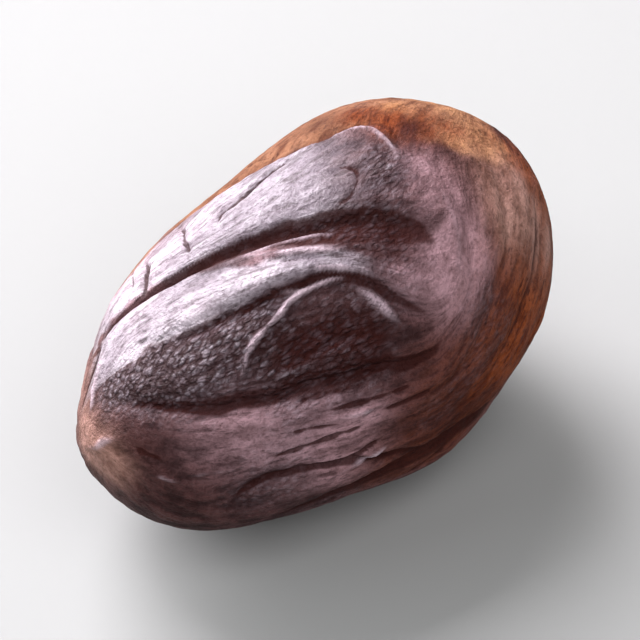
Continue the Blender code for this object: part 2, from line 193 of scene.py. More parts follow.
# Finer lines, too thin for the solid: the same five values
fineLines = {
    "veinLeft": (0.27, 0.15, 0.16, 0, [
        (-0.06, 30, 0.6), (-0.13, 26, 0.9), (-0.20, 24, 1.1), (-0.27, 23, 1.1), (-0.33, 24, 1),
        (-0.39, 25, 0.8), (-0.45, 26, 1.1), (-0.50, 28, 1.1), (-0.54, 32, 1), (-0.60, 36, 0.7)]),
    "veinSpur": (0.12, 0.20, 0.24, 0, [(-0.20, 26, 0.4), (-0.26, 20, 1), (-0.33, 18, 0.5)]),
    "veinRight": (0.16, 0.32, 0.40, 0, [
        (-0.10, 30, 0.6), (-0.06, 37, 1), (-0.04, 45, 1.1), (-0.01, 55, 0.6)]),
    "valleyEdge": (-0.28, 0.26, 0.32, 0.5, [
        (-0.06, 1, 0.5), (-0.19, -3, 0.9), (-0.27, -8, 0.9), (-0.40, -16, 1), (-0.50, -23, 1.1),
        (-0.60, -34, 1.1), (-0.72, -50, 1)]),
    "foldEdge": (-0.26, 0.18, 0.15, 0.5, [
        (0.12, 64, 0.5), (0.05, 67, 1), (-0.05, 65, 1), (-0.16, 60, 1), (-0.27, 57, 1), (-0.39, 52, 1),
        (-0.49, 50, 0.9), (-0.59, 44, 0.8), (-0.66, 40, 0.8), (-0.73, 34, 0.8), (-0.80, 22, 0.8),
        (-0.86, 5, 0.6)]),
    "crackLeft": (-0.14, 0.10, 0.12, 0, [
        (-0.40, -58, 0.5), (-0.45, -54, 1), (-0.51, -44, 1), (-0.55, -36, 0.7)]),
    "bandEdge": (0.10, 0.20, 0.22, 0.6, [
        (0.13, 47, 0.6), (0.07, 38, 1), (-0.01, 26, 1), (-0.05, 21, 1), (-0.12, 14, 1), (-0.20, 7, 1),
        (-0.30, -2, 1), (-0.42, -12, 1), (-0.51, -20, 1), (-0.61, -31, 1), (-0.73, -47, 0.6)]),
    "bandTop": (-0.12, 0.18, 0.14, 0.6, [
        (0.06, 36, 0.5), (0.00, 27, 1), (-0.05, 22, 1), (-0.13, 17, 1), (-0.20, 12, 1), (-0.26, 8, 0.8),
        (-0.32, 4, 0.5), (-0.38, -4, 0.3), (-0.45, -11, 0.3), (-0.54, -21, 0.3), (-0.63, -32, 0.3),
        (-0.73, -46, 0.3)]),
    "bandCrest": (0.14, 0.14, 0.18, 0.6, [
        (0.05, 44, 0.5), (-0.01, 33, 1), (-0.07, 26, 1), (-0.14, 21, 1), (-0.22, 17, 0.8), (-0.30, 12, 0.5)]),
    "valleyLine": (0.20, 0.17, 0.20, 0.6, [
        (0.04, 17, 0.5), (-0.02, 12, 1), (-0.10, 7, 1), (-0.19, 3, 1), (-0.30, -3, 0.6)]),
    "valleyRidge": (0.13, 0.26, 0.28, 0.6, [
        (0.03, 23, 0.5), (-0.05, 18, 1), (-0.14, 12, 1), (-0.24, 6, 0.6)]),
    "leafLine": (-0.12, 0.16, 0.22, 0.5, [
        (-0.12, 50, 0.5), (-0.24, 44, 1), (-0.38, 42, 1), (-0.52, 38, 0.6)]),
    "striation": (-0.14, 0.20, 0.28, 1, [
        (0.06, 68, 0.6), (-0.10, 66, 1), (-0.24, 62, 1), (-0.42, 56, 1), (-0.55, 51, 0.6)]),
    "lobeLineA": (-0.20, 0.19, 0.26, 1, [(0.00, 73, 0.5), (-0.17, 70, 1), (-0.34, 65, 1), (-0.46, 61, 0.6)]),
    "lobeLineB": (-0.19, 0.18, 0.24, 1, [(-0.28, 74, 0.5), (-0.38, 70, 1), (-0.47, 66, 1), (-0.58, 62, 0.5)]),
    "lobeLineC": (-0.20, 0.19, 0.26, 1, [(-0.20, 78, 0.5), (-0.36, 75, 1), (-0.50, 73, 1), (-0.64, 71, 0.6)]),
    "lobeLineD": (-0.16, 0.18, 0.22, 1, [(0.06, 79, 0.5), (-0.06, 77, 1), (-0.20, 74, 1), (-0.32, 72, 0.5)]),
    "lobeRidge": (0.12, 0.24, 0.24, 1, [(-0.04, 75, 0.5), (-0.20, 72, 1), (-0.36, 68, 1), (-0.50, 64, 0.5)]),
    "lowRidge": (0.17, 0.17, 0.19, 0.5, [(-0.17, 89, 0.5), (-0.24, 92, 1), (-0.31, 95, 1), (-0.43, 95, 0.6)]),
    "lowCrack": (-0.30, 0.20, 0.20, 0.5, [
        (-0.18, 85, 0.5), (-0.27, 88, 1), (-0.38, 90, 1), (-0.50, 87, 0.6)]),
    "tipWrinkle": (-0.12, 0.26, 0.26, 0, [
        (-0.93, 16, 0.5), (-0.93, 30, 1), (-0.91, 42, 1), (-0.87, 54, 1), (-0.80, 62, 0.6)]),
    "tipGlint": (0.085, 0.16, 0.18, 0, [
        (-0.95, 50, 0.5), (-0.92, 60, 1), (-0.88, 68, 1.1), (-0.78, 74, 0.6)]),
    "tipGlintLow": (0.09, 0.15, 0.17, 0, [
        (-0.89, 60, 0.5), (-0.84, 66, 1), (-0.77, 69, 1), (-0.68, 73, 0.5)]),
    "chinEdge": (-0.07, 0.24, 0.30, 0, [(-0.91, 28, 0.5), (-0.95, 40, 1), (-0.97, 62, 1), (-0.95, 96, 0.5)]),
    "chinFold": (0.06, 0.30, 0.42, 0, [(-0.975, 20, 0.5), (-0.99, 60, 1), (-0.98, 110, 0.5)]),
    "tipRidge": (0.12, 0.22, 0.32, 0, [(-0.985, -70, 0.6), (-0.98, -13, 1), (-0.96, 3, 1), (-0.93, 18, 0.6)]),
    "rimLine": (0.18, 0.18, 0.22, 0, [
        (-0.70, -42, 0.5), (-0.79, -35, 1), (-0.87, -33, 1), (-0.92, -30, 1), (-0.95, -36, 0.6)]),
    "rimFold": (-0.25, 0.35, 0.35, 0.6, [
        (-0.70, -46, 0.6), (-0.80, -50, 1), (-0.88, -56, 1), (-0.95, -66, 0.6)]),
    "tongueCrack": (-0.34, 0.17, 0.24, 1, [
        (0.15, -22, 0.5), (0.09, -24, 0.9), (0.02, -24, 0.9), (-0.11, -22, 1.1), (-0.17, -23, 1),
        (-0.24, -19, 0.7)]),
    "ovalCrack": (-0.15, 0.20, 0.24, 0, [
        (0.17, -12, 0.4), (0.20, -4, 0.9), (0.23, 1, 1.1), (0.20, 5, 0.6), (0.13, 8, 0.9), (0.06, 6, 1),
        (-0.02, 3, 0.6)]),
    "edgeCrack": (-0.26, 0.17, 0.18, 0, [(0.07, -56, 0.5), (0.11, -52, 1), (0.15, -44, 1), (0.16, -35, 0.5)]),
    "nick": (-0.22, 0.13, 0.18, 0, [(-0.23, -48, 0.6), (-0.27, -38, 1), (-0.34, -26, 1), (-0.37, -16, 0.7)]),
    "startCrack": (-0.26, 0.17, 0.20, 0, [
        (-0.41, -50, 0.5), (-0.45, -40, 1), (-0.52, -32, 1), (-0.56, -30, 0.5)]),
    "endRim": (0.12, 0.20, 0.20, 0, [
        (0.35, 12, 0.4), (0.40, 3, 1), (0.43, -9, 1), (0.40, -16, 1), (0.28, -20, 0.8), (0.14, -30, 0.5)]),
    "innerFlank": (-0.11, 0.28, 0.46, 1, [
        (0.52, 10, 0.4), (0.46, 22, 1), (0.42, 34, 1), (0.35, 47, 1), (0.24, 59, 1), (0.10, 67, 0.5)]),
    "cheekRidge": (0.09, 0.40, 0.36, 0, [
        (0.46, 12, 0.5), (0.40, 26, 1), (0.34, 40, 1), (0.25, 52, 1), (0.15, 58, 0.6)]),
    "raphePair": (-0.24, 0.25, 0.35, 1, [
        (0.70, 280, 0.5), (0.40, 267, 1), (0.00, 262, 1), (-0.45, 265, 1), (-0.80, 276, 0.7),
        (-0.94, 292, 0.4)]),
    "bellyVein": (0.16, 0.16, 0.18, 0, [
        (0.40, 120, 0.5), (0.14, 130, 1), (-0.12, 142, 1), (-0.46, 146, 0.6)]),
    "backVein": (0.16, 0.16, 0.18, 0, [(0.30, 240, 0.5), (0.06, 226, 1), (-0.22, 228, 1), (-0.50, 238, 0.6)]),
}

# Round swellings and hollows: place, reach, height
mounds = {
    "scar": ((0.90, -62), 2.3, 0.60),
    "dimple": ((0.92, -66), 1.0, -0.55),
    "tipKnob": ((-0.97, -15), 1.1, 0.30),
    "tongueEnd": ((0.34, -1), 1.2, 0.22),
    "valleyFloor": ((0.14, 30), 1.5, -0.30),
    "rimKnob": ((0.85, 50), 0.5, 0.20),
    # slow swellings and hollows of the whole form
    "shoulder": ((0.66, -38), 3.6, 0.40),
    "broadEnd": ((0.93, 4), 2.6, 0.22),
    "backSlope": ((0.04, -54), 5.0, -0.62),
    "tipSlope": ((-0.82, -64), 3.0, -0.50),
    "tipUnder": ((-0.96, 178), 3.0, -0.40),
    "tipBelly": ((-0.86, 104), 3.0, -0.25),
    "belly": ((0.04, 122), 4.6, 0.65),
    "pillow": ((-0.66, 18), 2.2, 0.24),
}

grain = {
    "raggedEdge": 0.11,  # how far a fold's edge wanders
    "raggedLine": 0.6,  # share of it that the finer lines take
    "strayLeather": 0.3,  # faint leather away from its patches
    "broadHeight": 0.014,  # lengthwise streaks, from broad to hair fine
    "midHeight": 0.013,
    "fineHeight": 0.009,
    "pebbleHeight": 0.016,
    "creaseHeight": 0.020,  # fine leathery unevenness everywhere
    "waveHeight": 0.10,  # slow unevenness
    "waveSize": 3.4,
}

# The streaks drawn out along the grain: width, length and seed
streakKinds = {
    "broad": (0.9, 2.6, 11),
    "mid": (0.42, 1.6, 12),
    "hair": (0.20, 0.9, 13),
    "pebble": (0.26, 0.34, 14),
    "crease": (0.30, 0.30, 17),
}

# How far the streaks are smoothed away by each
streaksLost = {"leather": 0.7, "tan": 0.5, "waxAndHighlight": 0.6, "calm": 0.8}

# Where the shell is pebbled like leather rather than streaked: place, reach, strength
pebbled = [
    ((-0.58, 12), 2.6, 1.0),
    ((-0.40, 22), 2.2, 1.0),
    ((-0.70, 14), 1.8, 1.0),
    ((-0.78, -8), 1.7, 1.1),
    ((-0.86, -16), 1.0, 0.8),
    ((-0.79, 8), 1.1, 1.0),
    ((-0.20, 48), 2.2, 0.7),
    ((0.30, 6), 1.5, 0.9),
    ((-0.45, 42), 1.8, 0.6),
    # the crumbly sides of the upper valley
    ((0.16, 20), 1.2, 0.6),
    ((0.03, 11), 1.1, 0.7),
    ((-0.12, 6), 1.0, 0.5),
    ((-0.26, -5), 0.8, 0.4),
]

# Patches of colour: place, reach, strength
strawPatches = [
    ((0.76, 22), 1.6, 1.2),
    ((0.64, 12), 0.8, 0.6),
    ((0.60, -18), 0.9, 0.6),
    ((0.84, 40), 1.6, 0.6),
    ((0.80, -20), 1.8, 0.4),
]
tanPatches = [
    ((0.86, -50), 4.5, 1.0),
    ((0.62, -34), 3.4, 1.1),
    ((0.36, -34), 2.8, 1.1),
    ((0.10, -42), 2.4, 1.1),
    ((-0.14, -52), 2.2, 1.0),
    ((-0.40, -62), 2.0, 0.7),
    ((0.68, -6), 2.4, 1.1),
    ((0.74, 16), 2.2, 1.0),
    ((0.62, -90), 5.0, 0.6),
]
palePatches = [
    ((-0.985, -30), 1.6, 1.2),
    ((-0.99, 30), 1.1, 0.9),
    ((-0.95, -50), 1.2, 0.6),
    ((0.70, 34), 2.2, 0.8),
    ((0.64, 52), 2.2, 1.0),
    ((0.73, 73), 2.0, 0.8),
    ((-0.86, -70), 2.2, 0.5),
    ((0.91, -64), 1.7, 0.9),
]
# the right flank's red-brown, partly the shell's own colour, partly painted warm bounce light
flankPatches = [
    ((0.67, 3), 1.2, 0.4),
    ((0.90, 38), 2.6, 0.6),
    ((0.78, 62), 3.6, 0.9),
    ((0.56, 84), 3.8, 1.0),
    ((0.26, 96), 3.8, 0.9),
    ((-0.08, 108), 3.8, 0.5),
    ((0.80, 150), 5.0, 0.6),
    ((0.55, -120), 5.0, 0.5),
    ((0.55, -8), 1.5, 1.2),
    ((0.47, -24), 1.0, 0.6),
]
# partly the cap's own dark blotches, partly painted shade on faces turned from the light: the leaf, the
# valley floor under the tongue and the low flank
darkAndShadePatches = [
    ((-0.12, 46), 1.8, 0.9),
    ((-0.24, 42), 1.8, 0.9),
    ((-0.40, 38), 1.8, 0.9),
    ((-0.20, 52), 1.5, 0.6),
    ((0.15, 30), 1.9, 0.9),
    ((0.04, 20), 1.2, 0.5),
    ((0.55, -4), 1.2, 1.1),
    ((0.51, -19), 0.9, 0.5),
    ((0.38, -32), 1.4, 0.7),
    ((0.08, 98), 3.2, 0.9),
    ((-0.02, 17), 0.9, 0.5),
    ((-0.90, 32), 1.4, 0.2),
    ((0.92, -66), 0.7, 0.9),
]
# mauve patches, partly the dry shell's dusty bloom, partly painted sheen on the faces that catch the soft
# light
bloomAndSheenPatches = [
    ((0.40, 26), 2.2, 0.65),
    ((0.30, 46), 2.2, 1.3),
    ((0.24, 54), 1.8, 1.0),
    ((0.42, 12), 1.2, 0.5),
    ((0.08, 42), 1.2, 1.1),
    ((-0.28, 73), 1.6, 0.4),
    ((-0.46, 66), 2.2, 1.5),
    ((-0.62, 60), 2.3, 0.7),
    ((-0.74, 50), 1.8, 0.4),
    ((-0.36, 90), 2.2, 0.8),
    ((-0.54, 12), 1.6, 0.4),
    # these also lighten the painted highlight on the waxed bands
    ((-0.46, -44), 2.2, 1.0),
    ((-0.60, -28), 1.6, 0.9),
    ((-0.74, -14), 1.4, 0.5),
    ((-0.22, -34), 1.8, 0.6),
    ((-0.28, 6), 1.4, 0.7),
    ((-0.52, 0), 1.2, 0.5),
    # the underside and the far side
    ((0.20, 130), 5.0, 0.5),
    ((-0.30, 160), 5.0, 0.6),
    ((0.00, 230), 6.0, 0.6),
    ((-0.40, 290), 4.0, 0.5),
]
# where the grain hardly shows
calmPatches = [
    ((0.42, 24), 2.6, 0.9),
    ((0.30, 46), 2.4, 0.9),
    ((0.12, 46), 1.6, 0.9),
    ((0.52, 6), 2.0, 0.8),
    ((0.70, 12), 2.2, 0.7),
    ((0.66, 38), 1.6, 0.3),
    ((-0.44, 66), 1.6, 0.6),
    ((-0.97, -10), 3.4, 1.0),
    ((-0.94, 50), 2.6, 0.7),
    ((0.91, -62), 3.0, 1.2),
]
# where the wax and its painted highlight fade out, on the far side and round the tip
waxFadePatches = [
    ((-0.30, -74), 1.6, 0.9),
    ((-0.46, -80), 2.0, 1.1),
    ((-0.62, -86), 2.3, 1.3),
    ((-0.76, -86), 2.1, 1.3),
    ((-0.84, -74), 1.5, 1.2),
    ((-0.92, -98), 2.3, 1.5),
    ((-0.90, -132), 2.2, 1.4),
]

# The waxed bands lie between two lines: each line with the side that the band is on, 1 for the line's right,
# how far from the line it starts and the shares of the line's length over which the wax sets in
# each band carries a glossy coat and, in its colour, a painted highlight
waxed = {
    "tongue": (("upperValley", 1, 0.22, (0.16, 0.34)), ("capEdge", 1, 0.0, (-0.1, 0.0))),
    "band": (("bandTop", -1, -0.45, (0.0, 0.15)), ("secondValley", 1, 0.05, (0.05, 0.22))),
}
waxEdge = {
    "widest": 7.0,  # no band reaches farther from its lines
    "fade": 0.32,
    "ragged": 1.5,  # times as ragged as a fold's edge
    "fromTip": (1.2, 3.8),  # distances from the tip's knob over which it sets in
}


def smoothKnots(knots, steps=10):
    knots = np.array(knots, float)
    knots = np.vstack([2 * knots[0] - knots[1], knots, 2 * knots[-1] - knots[-2]])
    line = []
    for i in range(1, len(knots) - 2):
        before, start, end, after = knots[i - 1 : i + 3]
        for t in np.linspace(0, 1, steps, endpoint=False):
            bend = 2 * before - 5 * start + 4 * end - after
            twist = 3 * start - before - 3 * end + after
            line.append(0.5 * (2 * start + (end - before) * t + bend * t**2 + twist * t**3))
    return np.array(line + [knots[-2]])


def besideFold(points, outward, knots, margin=4.5):
    # for the points near a line: which they are, how far beside it, counted up on its right and down on its
    # left, and the line's size, share along and direction there
    line = smoothKnots(knots)
    path = eggPoints(np.clip(line[:, 0], -0.999, 0.999), np.radians(line[:, 1]))
    near = np.flatnonzero(np.all((points > path.min(0) - margin) & (points < path.max(0) + margin), axis=1))
    spots, normals = points[near], outward[near]
    nearest = np.full(len(near), np.inf)
    side, size, share = (np.zeros(len(near)) for _ in range(3))
    heading = np.zeros((len(near), 3))
    for i in range(len(path) - 1):
        start, run = path[i], path[i + 1] - path[i]
        t = np.clip((spots - start) @ run / (run @ run), 0, 1)
        gap = spots - start - t[:, None] * run
        distance = np.linalg.norm(gap, axis=1)
        nearer = distance < nearest
        beside = np.einsum("ij,ij->i", gap, np.cross(run, normals))
        nearest = np.where(nearer, distance, nearest)
        side = np.where(nearer, np.sign(beside) * distance, side)
        size = np.where(nearer, line[i, 2] + t * (line[i + 1, 2] - line[i, 2]), size)
        share = np.where(nearer, (i + t) / (len(path) - 1), share)
        heading = np.where(nearer[:, None], run / np.linalg.norm(run), heading)
    return near, side, size, share, heading


foldShape = {
    "furrowSharpness": 1.6,
    "ridgeSharpness": 2.0,
    "thinWidth": 0.7,  # a thinner line breaks up as it runs
    "breakUp": 9,
    "thinnest": 0.3,
    "thickest": 1.7,
    "grainPull": 3,
    "grainReach": 1.8,
}


def addFold(points, outward, fold, ragged, height, pressed, flow):
    rise, right, left, pull, knots = fold
    near, side, size, share, heading = besideFold(points, outward, knots)
    distance = np.abs(side)
    side = side + ragged[near] * min(1, right + left)
    reach = size * np.where(side > 0, right, left)
    ends = np.sqrt(np.clip(np.sin(math.pi * share), 0, 1))
    sharpness = foldShape["furrowSharpness"] if rise < 0 else foldShape["ridgeSharpness"]
    lift = rise * size * ends * np.exp(-((np.abs(side) / reach) ** sharpness))
    if right + left < foldShape["thinWidth"]:
        thickness = 1 + foldShape["breakUp"] * ragged[near]
        lift *= np.clip(thickness, foldShape["thinnest"], foldShape["thickest"])
    height[near] += lift
    pressed[near] += np.clip(-lift, 0, None)
    if pull:
        drag = pull * foldShape["grainPull"] * ends * np.exp(-((distance / foldShape["grainReach"]) ** 2))
        flow[near] += drag[:, None] * heading


def addMound(points, mound, height):
    place, reach, rise = mound
    height += rise * np.exp(-((np.linalg.norm(points - placePoint(place), axis=1) / reach) ** 2))


def patches(points, spots):
    total = np.zeros(len(points))
    for place, reach, strength in spots:
        total += strength * np.exp(-((np.linalg.norm(points - placePoint(place), axis=1) / reach) ** 2))
    return total


def streaks(points, flow, crossing, cell, reach, seed):
    # random values drawn out along the grain, of unit spread
    steps = max(2, int(reach / (cell * 0.6)))
    stride = reach / steps
    total = valueNoise(points, cell, seed)
    for way in (1, -1):
        spot, heading = points.copy(), flow * way
        for step in range(1, steps + 1):
            along, turn = placesOf(spot + heading * stride)
            spot = eggPoints(along, turn)
            grainThere = flow[nearestVertices(along, turn, crossing)]
            heading = grainThere * np.sign(np.einsum("ij,ij->i", grainThere, heading))[:, None]
            total += (0.5 + 0.5 * math.cos(math.pi * step / (steps + 1))) * valueNoise(spot, cell, seed)
    return total / total.std()


def alongGrain(points, flow, crossing, faces):
    # each point's own line of grain, as the spot on a rod's girth where it crosses the girdle, and its
    # distance from there; this lays out fibres finer than the mesh
    stride, steps = 0.30, 90
    along, turn = placesOf(points)
    way = np.where(along > 0, 1.0, -1.0)
    spot, heading = points.copy(), flow * way[:, None]
    travelled, girdleTurn = np.zeros(len(points)), turn.copy()
    moving = np.arange(len(points))
    for step in range(steps):
        nextAlong, nextTurn = placesOf(spot[moving] + heading[moving] * stride)
        share = np.clip(along[moving] / (along[moving] - nextAlong + 1e-9 * way[moving]), 0, 1)
        across = np.arctan2(np.sin(nextTurn - turn[moving]), np.cos(nextTurn - turn[moving]))
        passed = nextAlong * way[moving] <= 0
        travelled[moving] += stride * np.where(passed, share, 1)
        girdleTurn[moving] = turn[moving] + across * np.where(passed, share, 1)
        along[moving], turn[moving] = nextAlong, nextTurn
        spot[moving] = eggPoints(nextAlong, nextTurn)
        grainThere = flow[nearestVertices(nextAlong, nextTurn, crossing)] * way[moving][:, None]
        heading[moving] = grainThere
        moving = moving[~passed]
    radius = egg["width"] / 2
    places = np.stack([radius * np.cos(girdleTurn), radius * np.sin(girdleTurn), travelled * way], axis=1)
    neighbours = np.bincount(faces.ravel())
    for smoothing in range(3):
        total = np.zeros_like(places)
        np.add.at(total, faces.ravel(), np.repeat(places[faces].mean(axis=1), 4, axis=0))
        places = total / neighbours[:, None]
    return places


def shapeShell():
    # the shell's vertices in millimetres, its faces, and the values that colour it
    ball, faces, crossing = cubeBall(egg["squares"])
    smooth = eggPoints(np.clip(ball[:, 0], -1, 1), np.arctan2(-ball[:, 1], ball[:, 2]))
    outward = smooth / np.array([egg["length"], egg["width"], egg["width"]]) ** 2
    outward /= np.linalg.norm(outward, axis=1)[:, None]

    # the grain runs from the scar to the tip, drawn aside by the folds
    scar, tip = placePoint(mounds["scar"][0]), placePoint(mounds["tipKnob"][0])
    flow = (smooth - scar) / (np.linalg.norm(smooth - scar, axis=1)[:, None] ** 2 + 1)
    flow += (tip - smooth) / (np.linalg.norm(tip - smooth, axis=1)[:, None] ** 2 + 1)
    flow /= np.linalg.norm(flow, axis=1)[:, None]

    ragged = valueNoise(smooth, 0.9, 3) + 0.6 * valueNoise(smooth, 0.4, 4)
    ragged *= grain["raggedEdge"]
    big, fine, pressed = (np.zeros(len(smooth)) for _ in range(3))
    for fold in folds.values():
        addFold(smooth, outward, fold, ragged, big, pressed, flow)
    for line in fineLines.values():
        addFold(smooth, outward, line, ragged * grain["raggedLine"], fine, pressed, flow)
    for mound in mounds.values():
        addMound(smooth, mound, big)
    flow -= np.einsum("ij,ij->i", flow, outward)[:, None] * outward
    flow /= np.linalg.norm(flow, axis=1)[:, None]
    print("folds laid")

    drawn = {name: streaks(smooth, flow, crossing, *kind) for name, kind in streakKinds.items()}
    broad, mid, hair = drawn["broad"], drawn["mid"], drawn["hair"]
    wave = valueNoise(smooth, grain["waveSize"], 15)
    print("grain drawn")

    toTip = np.linalg.norm(smooth - tip, axis=1)
    # the waxed bands: a glossy coat, and the painted highlight in their colour
    waxAndHighlight = np.zeros(len(smooth))
    for edges in waxed.values():
        band = smoothStep(toTip, *waxEdge["fromTip"])
        for name, way, start, inset in edges:
            knots = {**folds, **fineLines}[name][4]
            near, side, _, share, _ = besideFold(smooth, outward, knots, waxEdge["widest"])
            within = np.zeros(len(smooth))
            inside = side * way + waxEdge["ragged"] * ragged[near]
            within[near] = smoothStep(inside, start, start + waxEdge["fade"])
            within[near] *= smoothStep(share, *inset)
            band *= within
        waxAndHighlight = np.maximum(waxAndHighlight, band)
    waxFade = patches(smooth, waxFadePatches)
    waxAndHighlight *= 1 - np.clip(waxFade + waxEdge["ragged"] * ragged * np.clip(2 * waxFade, 0, 1), 0, 1)
    stray = smoothStep(valueNoise(smooth, 5.0, 16), 0.1, 0.6)
    leather = np.clip(patches(smooth, pebbled) + grain["strayLeather"] * stray, 0, 1)
    leather *= 1 - 0.8 * waxAndHighlight
    # the tan of the cap ends at the cap's edge, beside the tongue
    near, side, _, share, _ = besideFold(smooth, outward, folds["capEdge"][4])
    cap = patches(smooth, tanPatches)
    cap = np.clip(cap + 0.18 * broad * np.clip(2 * cap, 0, 1), 0, 1)
    beyond = smoothStep(side + ragged[near], -0.1, 0.4) * smoothStep(share, 0, 0.12)
    cap[near] *= 1 - beyond * smoothStep(1 - share, 0, 0.12)
    waxAndHighlight *= 1 - cap
    calm = np.clip(patches(smooth, calmPatches), 0, 1)
    streaky = 1
    for name, mask in (("leather", leather), ("tan", cap), ("waxAndHighlight", waxAndHighlight), ("calm", calm)):
        streaky = streaky * (1 - streaksLost[name] * mask)
    relief = big + fine + grain["waveHeight"] * wave
    relief += streaky * (grain["broadHeight"] * broad + grain["midHeight"] * mid + grain["fineHeight"] * hair)
    relief += leather * grain["pebbleHeight"] * drawn["pebble"]
    relief += (0.4 + 0.6 * leather) * grain["creaseHeight"] * drawn["crease"]
    points = smooth + relief[:, None] * outward

    values = {
        # painted shade: the furrows and fine creases are darkened
        "furrow": np.maximum(smoothStep(pressed, 0.08, 0.34), smoothStep(-fine, 0.05, 0.17)),
        # pale veins, and painted highlight along the tops of the raised fine lines
        "veinAndRidgeHighlight": smoothStep(fine, 0.05, 0.22),
        "streak": np.clip(0.5 + 0.16 * (mid + 0.6 * hair + 0.7 * broad) * (1 - 0.7 * calm), 0, 1),
        "calm": calm,
        "leather": leather,
        "tan": cap,
        # painted shade, with the cap's dark blotches
        "darkAndShade": np.clip(patches(smooth, darkAndShadePatches), 0, 1),
        "waxAndHighlight": waxAndHighlight,
    }
    coloured = {"straw": strawPatches, "flank": flankPatches, "bloomAndSheen": bloomAndSheenPatches, "pale": palePatches}
    for name, spots in coloured.items():
        values[name] = np.clip(patches(smooth, spots) * (1 + 0.22 * broad), 0, 1)
    return points, faces, values, alongGrain(smooth, flow, crossing, faces)


def layDown(points):
    # leans the egg as it lies and flattens the spot that it rests on
    lean = math.radians(egg["leanDegrees"])
    x = points[:, 0] * math.cos(lean) - points[:, 2] * math.sin(lean) + egg["liesAt"][0]
    z = points[:, 0] * math.sin(lean) + points[:, 2] * math.cos(lean) + egg["liesAt"][2]
    return np.stack([x, points[:, 1] + egg["liesAt"][1], np.maximum(z, 0)], axis=1)


def makeShell():
    points, faces, values, grainPlaces = shapeShell()
    mesh = bpy.data.meshes.new("nutmegShell")
    mesh.from_pydata((layDown(points) / 1000).tolist(), [], faces.tolist())
    for name, value in values.items():
        mesh.attributes.new(name, "FLOAT", "POINT").data.foreach_set("value", value.astype(np.float32))
    layout = mesh.attributes.new("grainPlace", "FLOAT_VECTOR", "POINT").data
    layout.foreach_set("vector", grainPlaces.astype(np.float32).ravel())
    mesh.shade_smooth()
    mesh.update()
    shell = bpy.data.objects.new("nutmegShell", mesh)
    bpy.context.scene.collection.objects.link(shell)
    return shell


shellLook = {
    "darkBrown": (0.022, 0.0070, 0.0068, 1),
    "midBrown": (0.078, 0.028, 0.026, 1),
    "bloomAndSheen": (0.410, 0.250, 0.276, 1),  # the dusty mauve film of the dry shell, partly painted sheen where the soft reflection falls
    "bloomAndSheenDark": (0.215, 0.124, 0.134, 1),
    "flankBrown": (0.243, 0.059, 0.016, 1),
    "flankDark": (0.108, 0.021, 0.005, 1),
    "pale": (0.370, 0.208, 0.166, 1),  # paler patches at the tip, the scar and the right side; the tip's is partly painted light
    "paleDark": (0.185, 0.092, 0.068, 1),
    "tan": (0.240, 0.113, 0.062, 1),
    "tanDark": (0.105, 0.040, 0.022, 1),
    "straw": (0.520, 0.265, 0.115, 1),
    "highlightFilm": (0.345, 0.308, 0.350, 1),  # partly a greyer film under the wax, partly painted highlight on the waxed bands
    "highlightFilmLight": (0.540, 0.500, 0.550, 1),
    "highlightFilmDim": (0.220, 0.180, 0.212, 1),
    "highlightFilmDark": (0.130, 0.096, 0.112, 1),
    "paleVeinAndHighlight": (0.490, 0.380, 0.425, 1),
    # the colour of the painted shade, and of the cap's dark blotches
    "furrowBrown": (0.030, 0.0070, 0.0055, 1),
    "dullRough": 0.66,
    "tanRough": 0.80,
    "sheenLevel": 0.04,
    "waxRough": 0.40,  # the waxy coat that gives the bright bands their gloss
    "waxIndex": 1.70,
}

# Sizes of the markings in millimetres. Mottle and grit have their detail and roughness too. The others are
# drawn out, across and along, and the beads stray by that many of their own widths.
markings = {
    "mottle": (1.1, 6.0, 0.68),
    "grit": (0.24, 3.0, 0.6),
    "fibre": (0.34, 1.8),
    "hair": (0.14, 0.5),
    "swath": (0.8, 2.4),
    "bead": (0.24, 0.62, 1.0),
}

# Relief of the markings: strength, and height in metres
markingBumps = {
    "bead": (1.0, 0.00024),
    "fibre": (0.8, 0.00014),
    "mottle": (0.8, 0.00050),
    "grit": (0.8, 0.00015),
}

# How much each one hides of the colour under it
hides = {
    "highlightFilm": 0.80,
    "leather": 0.50,
    "glintBeads": 0.60,
    "shadedGaps": 0.85,
    "threads": 0.50,
    "furrow": 0.85,
    "darkAndShade": 0.80,
    "darkBeads": 0.42,
    "veinAndRidgeHighlight": 0.80,
    "cracks": 0.50,
    "pits": 0.26,
}

# How thick the waxy coat is, and the share of it that is lost where the shell is dull
waxCoat = {
    "streaked": 0.45,  # share of the bands' wax that breaks up with the streaks
    "glintBeads": 0.60,
    "veinAndRidgeHighlight": 0.8,
    "least": (0.08, 0.18),  # on dark streaks and on light ones
    "lost": {"furrow": 0.8, "darkAndShade": 0.75, "tan": 0.9, "flank": 0.8, "pits": 0.5},
}


